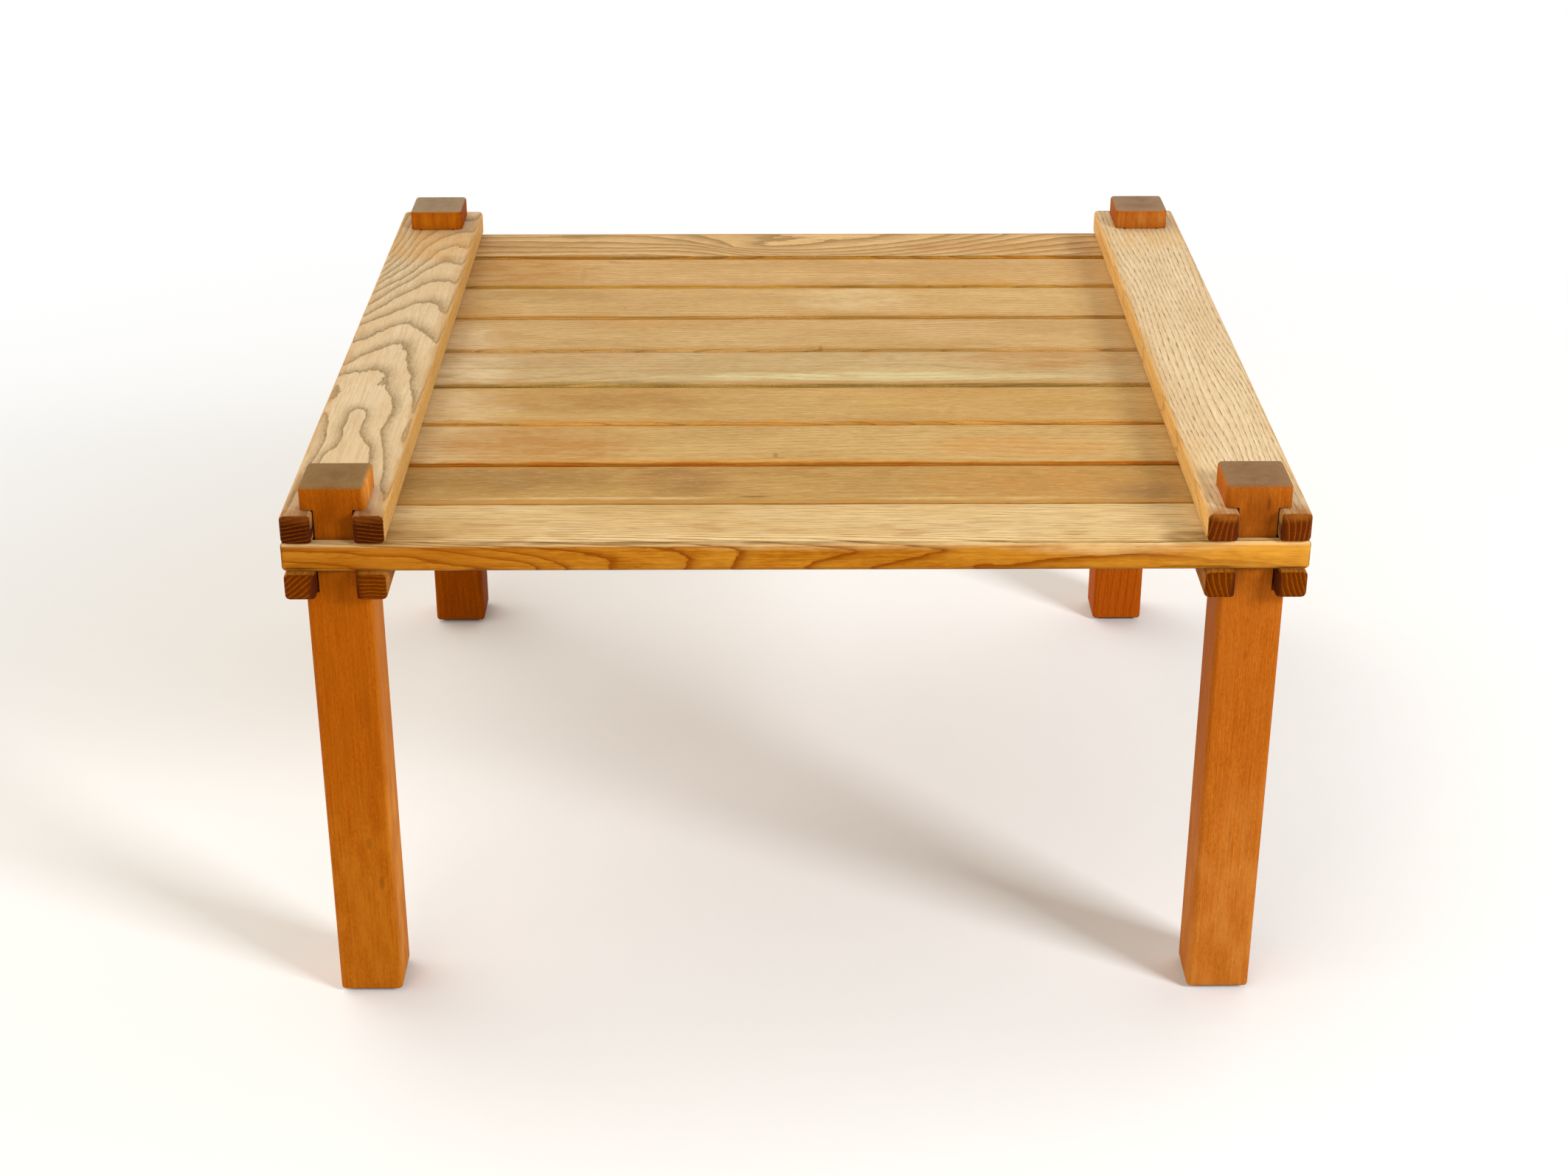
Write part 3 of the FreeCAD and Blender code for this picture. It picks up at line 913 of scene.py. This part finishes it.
# Rails lie in the shade, and have kept their stain and old oil
RAIL_ASH = dict(
    faded=False, amber="AC6A20", rust="935412", burnt="5E3008", end="632801", end_line="9B5401", end_dark="421701",
    rough=0.65, gloss_tint="FFC878", **PRONG_ASH,
)


class SLATTEDTABLE_OT_lower_rails(bpy.types.Operator):
    """Two lower rails with a fork at each end, under the planks"""

    bl_idname = "slatted_table.lower_rails"
    bl_label = "Lower rails"

    def execute(self, context):
        shape = context.scene.table_shape
        for side, sign in SIDES.items():
            node = "lower_rail_" + side
            low, high = (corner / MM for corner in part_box(node))
            middle = (low.x + high.x) / 2
            # The left rail's pith lies below it and the right one's above and far to the right
            if side == "left":
                figure = pith_figure("Y", (middle + 30, low.z - 70), (middle + 50, low.z - 80), 3.4, 61, 3.0)
            else:
                figure = pith_figure("Y", (middle + 200, high.z + 30), (middle + 190, high.z + 40), 3.6, 62, 3.0)
            piece = forked_piece(node, shape, 14 * MM, figure)
            wear(piece, 80 + sign, "Y", shape.wear_depth, shape.edge_wear_depth)
            # Shaded walls of the slots
            walls = [((middle, end * 400, 386), (22, 60, 40), "4A1C08", 3.0) for end in ENDS.values()]
            finish_piece(piece, node, ash_material("ash_oiled_" + node, "Y", 41 + sign, marks=walls, **RAIL_ASH))
        return {"FINISHED"}


# Legs are stained all over and have finer rings and flecks than the top
LEG_ASH = dict(
    faded=False, dark_pore_and_gap_shade="5B2703", side_contrast=0.2, hairs=0.15, side_flecks=0.3, fleck_length=3.5, mottled=0.12,
    plain_spread=2.5, pore_length=5.0, end_contrast=0.4, rough=0.6, gloss_tint="FFD090",
)

# What sets each leg apart: tone of its stained sides, of its worn top, and its marks
LEG_LOOKS = {
    "leg_front_left": dict(
        amber="B15D0C", rust="9A4902", burnt="6C2F01", glow="C27B1F", end="8B6B3F", end_line="9D7C4F",
        end_dark="715534",
        marks=(
            # Painted light: the first two marks lighten the side and the head that face the key lamp; the others are
            # flaws
            ((-327, -350, 230), (10, 70, 420), "E6963A", 0.65), ((-328, -350, 460), (9, 60, 26), "EC9C44", 0.6),
            ((-343, -376, 109), (2.5, 8, 8), "6E3204", 0.8), ((-351, -376, 147), (3, 8, 7), "7A3A06", 0.6),
            ((-346, -376, 270), (6, 8, 22), "7E3E06", 0.4),
        ),
    ),
    "leg_front_right": dict(
        amber="B8651A", rust="A05009", burnt="713205", glow="CA853B", end="8E6D4B", end_line="9F7F5D",
        end_dark="73553E",
        marks=(
            ((366, -376, 451), (1.5, 6, 9), "5E2A08", 0.75), ((358, -376, 319), (1.6, 8, 5), "6E3204", 0.7),
            ((358, -376, 22), (1.2, 8, 3), "5E2A08", 0.8),
        ),
    ),
    "leg_rear_left": dict(
        amber="A64E01", rust="8C3D01", burnt="5F2201", glow="B66601", end="9D8566", end_line="AA9479",
        end_dark="866C52",
        marks=(((-359, 350, 130), (60, 60, 330), "6A2E00", 0.45), ((-359, 318, 456), (60, 12, 16), "E08A1E", 0.4)),
    ),
    "leg_rear_right": dict(
        amber="B15B0E", rust="9B4806", burnt="6C2C03", glow="C17921", side_contrast=0.6, end="977B5E",
        end_line="A48970", end_dark="80634B",
        marks=(((359, 350, 130), (60, 60, 330), "A83A00", 0.4), ((359, 318, 456), (60, 12, 16), "E09A48", 0.4)),
    ),
}


def leg_piece(shape, end, side):
    """A leg with the two notches that leave its neck, its eased edges, its figure and its own finish."""
    toward, sign = ENDS[end], SIDES[side]
    node = "leg_%s_%s" % (end, side)
    low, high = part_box(node)
    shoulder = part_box("lower_rail_" + side)[0].z
    under_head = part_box("upper_board_" + side)[1].z
    middle = (low.x + high.x) / 2
    half = shape.neck_width / 2

    def in_notch(x, z):
        return abs(x - middle) > half and shoulder < z < under_head

    cuts_x = cuts(low.x, high.x, 8 * MM, 5.5 * MM, (middle - half, middle + half))
    cuts_z = cuts(low.z, high.z, 16 * MM, 5 * MM, (shoulder, under_head))
    levels = cuts(low.y, high.y, 9 * MM, 5.5 * MM)
    bm = sawn_mesh(cuts_x, cuts_z, levels, "Y", in_notch)

    def radius_of(place, direction):
        on_neck = shoulder + NEAR < place.z < under_head - NEAR
        if on_neck or abs(place.z - shoulder) < NEAR:
            return shape.notch_edge
        if abs(place.z - under_head) < NEAR:
            return shape.notch_edge * 2
        return shape.leg_edge if abs(direction.z) > ALONG else shape.head_edge

    piece = ease_edges(bm, node + "_ash", radius_of, 5)
    centre = ((low + high) / 2) / MM
    # Front legs come from slow-grown wood, with narrow rings far from the pith; mm outward and back at foot and head
    foot, head, ring_width = ((150, 30), (170, 20), 1.7) if end == "front" else ((60, 80), (75, 90), 3.6)
    pith = [(centre.x + sign * out, centre.y + back) for out, back in (foot, head)]
    store_figure(piece, "Z", pith_figure("Z", *pith, ring_width, 90 + toward * 3 + sign, 1.5))
    wear(piece, 95 + toward * 3 + sign, "Z", shape.wear_depth, shape.edge_wear_depth)
    own = {**LEG_ASH, **LEG_LOOKS[node]}
    # Painted shade darkens the neck where it goes through the forks, between the prongs and under the head
    own["marks"] = (((centre.x, centre.y, 420), (48, 60, 60), "5A2602", 0.55), *own["marks"])
    if end == "front":
        # Painted shade darkens the front legs towards the top, painted light bounced off the floor lightens their feet,
        # and the fronts of their heads are darker
        own["marks"] += (
            ((centre.x, centre.y, 300), (80, 80, 160), own["rust"], 0.45),
            ((centre.x, low.y / MM, 452), (60, 9, 22), "7A3600", 0.35),
            ((centre.x, centre.y, 0), (80, 80, 230), own["glow"], 0.3),
        )
    finish_piece(piece, node, ash_material("ash_stained_" + node, "Z", 50 + toward * 3 + sign, **own))


class SLATTEDTABLE_OT_legs(bpy.types.Operator):
    """Four legs, each one piece of shaft, notched neck and head"""

    bl_idname = "slatted_table.legs"
    bl_label = "Legs"

    def execute(self, context):
        for end in ENDS:
            for side in SIDES:
                leg_piece(context.scene.table_shape, end, side)
        return {"FINISHED"}


# Radii of the pads' upright corners and of their rims
PAD_CORNER = 4.5 * MM
PAD_RIM = 0.7 * MM


class SLATTEDTABLE_OT_foot_pads(bpy.types.Operator):
    """Four felt pads under the legs"""

    bl_idname = "slatted_table.foot_pads"
    bl_label = "Foot pads"

    def execute(self, context):
        material = felt_material(("2C2018", "4A382A"))
        for end in ENDS:
            for side in SIDES:
                node = "foot_pad_%s_%s" % (end, side)
                low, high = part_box(node)
                cuts_x, cuts_y = (cuts(low[i], high[i], 8 * MM, 6 * MM) for i in (0, 1))
                bm = sawn_mesh(cuts_x, cuts_y, (low.z, high.z), "Z", lambda x, y: False)

                def radius_of(place, direction):
                    return PAD_CORNER if abs(direction.z) > ALONG else PAD_RIM

                piece = ease_edges(bm, node + "_felt", radius_of, 4)
                finish_piece(piece, node, material)
        return {"FINISHED"}


class SLATTEDTABLE_OT_tenons(bpy.types.Operator):
    """Finish of the hidden tenons, which keep their CAD shape"""

    bl_idname = "slatted_table.tenons"
    bl_label = "Tenons"

    def execute(self, context):
        material = ash_material("ash_planed_tenons", "Z", 77, faded=False, amber="D9A860", rust="CC9850")
        for side in SIDES:
            piece = frame["nodes"]["tenons_" + side]
            piece.data.materials.clear()
            piece.data.materials.append(material)
        return {"FINISHED"}


# The point the lamps are aimed at, and half the width of the paper floor, in m
LAMP_AIM = (0.0, 0.0, 0.25)
FLOOR_REACH = 7.0


def background_rays(add, *others):
    """1 for the camera's rays and the other kinds given, which are to meet plain white; 0 for the rest."""
    seen = add("LightPath", out="Is Camera Ray")
    rays = seen.node.outputs
    for kind in others:
        seen = add("Math", "MAXIMUM", seen, rays[kind])
    return seen


class SLATTEDTABLE_OT_stage(bpy.types.Operator):
    """White paper floor, soft lamps, room light and the camera"""

    bl_idname = "slatted_table.stage"
    bl_label = "Stage"

    def execute(self, context):
        scene = context.scene
        light = scene.stage_light
        scene.view_settings.view_transform = "Standard"
        self.floor(scene, light)
        self.world(scene, light)
        # The lamps stand 4.5 m off at 27 degrees, 50 degrees to the right of the front and 20 to the left
        self.lamp("key_lamp", (3.07, -2.58, 2.29), 1.2, light.key_power, "F1F7FF")
        self.lamp("fill_lamp", (-1.37, -3.77, 2.29), 2.0, light.fill_power, "FFF0DA")
        # The camera's place and lens come from a fit to the table's corners in the photograph
        data = bpy.data.cameras.new("photo_camera")
        data.sensor_width = 36.0
        data.lens = 59.07
        camera = bpy.data.objects.new("photo_camera", data)
        scene.collection.objects.link(camera)
        camera.location = (-0.0204, -2.1940, 1.2586)
        camera.rotation_euler = (math.radians(90 - 25.80), 0.0, math.radians(-0.347))
        scene.camera = camera
        return {"FINISHED"}

    def floor(self, scene, light):
        """Matt paper that keeps the table's shadow and turns plain white away from it."""
        bm = bmesh.new()
        bmesh.ops.create_grid(bm, x_segments=8, y_segments=8, size=FLOOR_REACH)
        mesh = bpy.data.meshes.new("paper_floor")
        bm.to_mesh(mesh)
        bm.free()
        floor = bpy.data.objects.new("paper_floor", mesh)
        scene.collection.objects.link(floor)
        material, add = new_material("paper_white_matt")
        place = add("TexCoord", out="Object")
        # Fibre clouds of about 40 mm, just off white
        cloud = add("TexNoise", place, 1 / (40 * MM), 3.0)
        paper = tuple(light.floor_colour)
        shade = add("Mix", "RGBA", cloud, (*paper, 1.0), (*[c * 0.985 for c in paper], 1.0))
        white = add("Emission", (1.0, 1.0, 1.0, 1.0), 1.0)
        # From 0.5 to 1.9 m from the table, so that no edge of the paper shows
        away = add("MapRange", "SMOOTHSTEP", add("VectorMath", "LENGTH", place), 0.5, 1.9)
        seen = background_rays(add, "Is Glossy Ray", "Is Transmission Ray")
        share = add("Math", "MULTIPLY", away, seen)
        add("OutputMaterial", add("MixShader", share, add("BsdfDiffuse", shade), white))
        mesh.materials.append(material)

    def world(self, scene, light):
        """A room with two white walls, which the camera sees as plain white."""
        world = bpy.data.worlds.new("studio_room")
        world.use_nodes = True
        scene.world = world
        world.node_tree.nodes.clear()
        add = partial(add_node, world.node_tree)
        # The wood's faint sheen shows the walls themselves
        seen = background_rays(add, "Is Transmission Ray")
        aim = add("SeparateXYZ", add("TexCoord", out="Generated")).node.outputs
        # White walls stand behind the table and to its left, and the rest of the room is dim
        behind = add("MapRange", "LINEAR", aim["Y"], -0.1, 0.5, 0.05, 1.0)
        beside = add("MapRange", "LINEAR", aim["X"], 0.0, -0.6, 0.0, 1.15)
        room = add("Math", "MULTIPLY", add("Math", "ADD", behind, beside), light.sky)
        strength = add("Mix", "FLOAT", seen, room, 1.0)
        shade = add("Mix", "RGBA", seen, "FFFCF6", "FFFFFF")
        add("OutputWorld", add("Background", shade, strength))

    def lamp(self, name, place, size, power, code):
        """A square soft lamp, aimed at the middle of the table."""
        data = bpy.data.lights.new(name, "AREA")
        data.shape = "SQUARE"
        data.size = size
        data.energy = power
        data.color = from_hex(code)
        lamp = bpy.data.objects.new(name, data)
        bpy.context.scene.collection.objects.link(lamp)
        lamp.location = place
        lamp.rotation_euler = (Vector(LAMP_AIM) - Vector(place)).to_track_quat("-Z", "Y").to_euler()


class SLATTEDTABLE_PT_sidebar(bpy.types.Panel):
    """Lists the steps that dress the table"""

    bl_idname = "SLATTEDTABLE_PT_sidebar"
    bl_label = "Slatted table"
    bl_space_type = "VIEW_3D"
    bl_region_type = "UI"
    bl_category = "Slatted table"

    def draw(self, context):
        for group in (context.scene.table_shape, context.scene.stage_light):
            column = self.layout.column(align=True)
            for name in group.__annotations__:
                column.prop(group, name)
        column = self.layout.column(align=True)
        for step in STEPS:
            column.operator(step.bl_idname)


STEPS = (
    SLATTEDTABLE_OT_planks,
    SLATTEDTABLE_OT_upper_boards,
    SLATTEDTABLE_OT_lower_rails,
    SLATTEDTABLE_OT_legs,
    SLATTEDTABLE_OT_foot_pads,
    SLATTEDTABLE_OT_tenons,
    SLATTEDTABLE_OT_stage,
)
CLASSES = (TableShape, StageLight, *STEPS, SLATTEDTABLE_PT_sidebar)


def register():
    for item in CLASSES:
        bpy.utils.register_class(item)
    bpy.types.Scene.table_shape = PointerProperty(type=TableShape)
    bpy.types.Scene.stage_light = PointerProperty(type=StageLight)


def unregister():
    del bpy.types.Scene.stage_light
    del bpy.types.Scene.table_shape
    for item in reversed(CLASSES):
        bpy.utils.unregister_class(item)


def main():
    register()
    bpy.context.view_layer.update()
    for step in STEPS:
        group, name = step.bl_idname.split(".")
        getattr(getattr(bpy.ops, group), name)()


if __name__ == "__main__":
    main()
